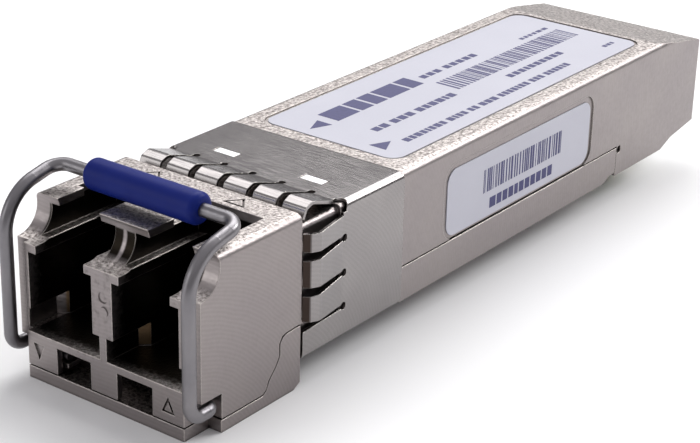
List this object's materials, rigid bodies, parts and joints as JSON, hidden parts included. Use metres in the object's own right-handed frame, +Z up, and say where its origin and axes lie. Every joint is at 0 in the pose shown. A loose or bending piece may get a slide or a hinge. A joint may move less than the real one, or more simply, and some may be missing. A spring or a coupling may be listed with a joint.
{
  "type": "optical transceiver module",
  "caption": "Small pluggable optical transceiver with a duplex LC receptacle, a sprung EMI collar, an edge connector and a folding bail latch that releases it from its cage.",
  "frame": {"origin": "middle of the closed module's footprint, on the plane of the nose's underside", "axes": "+X across the module towards the receive port's side, which carries the side label; +Y from the port face to the edge connector; +Z up to the top label"},
  "size_m": [0.0146, 0.0574, 0.013],
  "materials": {
    "upper_casting": "satin nickel plating on die-cast zinc",
    "lower_casting": "satin nickel plating on die-cast zinc",
    "collar_sheet": "fine brushed nickel-plated spring steel",
    "bail_steel": "satin steel wire",
    "grip_plastic": "smooth blue moulded plastic",
    "rocker_casting": "satin nickel plating on zinc",
    "pin_steel": "ground steel",
    "spring_steel": "rolled stainless spring strip",
    "board_laminate": "green solder mask on glass-epoxy laminate",
    "contact_gold": "hard gold plating",
    "tx_barrel_steel": "turned stainless steel",
    "rx_barrel_steel": "turned stainless steel",
    "tx_sleeve_zirconia": "polished white zirconia",
    "rx_sleeve_zirconia": "polished white zirconia",
    "tx_stub_zirconia": "polished white zirconia",
    "rx_stub_zirconia": "polished white zirconia",
    "transmitter_steel": "turned stainless steel",
    "receiver_steel": "turned stainless steel",
    "laser_can_gold": "gold-plated steel can",
    "photodiode_can_gold": "gold-plated steel can",
    "laser_lead_gold": "gold-plated leads",
    "photodiode_lead_gold": "gold-plated leads",
    "tx_film": "amber polyimide film",
    "rx_film": "amber polyimide film",
    "retainer_plastic": "black glass-filled plastic",
    "driver_package": "moulded epoxy",
    "amplifier_package": "moulded epoxy",
    "controller_package": "moulded epoxy",
    "memory_package": "moulded epoxy",
    "capacitor_ceramic": "tan ceramic with tinned ends",
    "inductor_ferrite": "dark ferrite",
    "pad_silicone": "soft grey silicone",
    "gasket_elastomer": "silver-filled silicone",
    "screw_steel": "zinc-plated steel",
    "top_label_film": "white polyester film with dark print",
    "side_label_film": "white polyester film with dark print"
  },
  "bodies": {
    "housing": {"upper_housing": "upper_casting", "lower_housing": "lower_casting", "emi_collar": "collar_sheet", "latch_pin": "pin_steel", "latch_spring": "spring_steel", "circuit_board": "board_laminate", "edge_contacts": "contact_gold", "tx_barrel": "tx_barrel_steel", "rx_barrel": "rx_barrel_steel", "tx_alignment_sleeve": "tx_sleeve_zirconia", "rx_alignment_sleeve": "rx_sleeve_zirconia", "tx_fibre_stub": "tx_stub_zirconia", "rx_fibre_stub": "rx_stub_zirconia", "transmitter_body": "transmitter_steel", "receiver_body": "receiver_steel", "laser_can": "laser_can_gold", "photodiode_can": "photodiode_can_gold", "laser_leads": "laser_lead_gold", "photodiode_leads": "photodiode_lead_gold", "tx_flex": "tx_film", "rx_flex": "rx_film", "barrel_retainer": "retainer_plastic", "laser_driver_chip": "driver_package", "limiting_amplifier_chip": "amplifier_package", "controller_chip": "controller_package", "memory_chip": "memory_package", "chip_capacitors": "capacitor_ceramic", "power_inductors": "inductor_ferrite", "thermal_pad": "pad_silicone", "emi_gaskets": "gasket_elastomer", "housing_screws": "screw_steel", "top_label": "top_label_film", "side_label": "side_label_film"},
    "bail": {"bail_wire": "bail_steel", "bail_grip": "grip_plastic"},
    "rocker": {"latch_rocker": "rocker_casting"}
  },
  "joints": [
    {"name": "bail_swing", "type": "hinge", "parent": "housing", "child": "bail", "pos_m": [0, -0.0264, 0.00185], "axis": [1, 0, 0], "range_deg": [0, 90]},
    {"name": "latch_rock", "type": "hinge", "parent": "housing", "child": "rocker", "pos_m": [0, -0.0212, 0.00185], "axis": [1, 0, 0], "range_deg": [0, 6.1], "deforming": ["latch_spring"]}
  ],
  "couplings": [
    {"joint": "latch_rock", "follows": "bail_swing", "ratio": 0.0667}
  ]
}
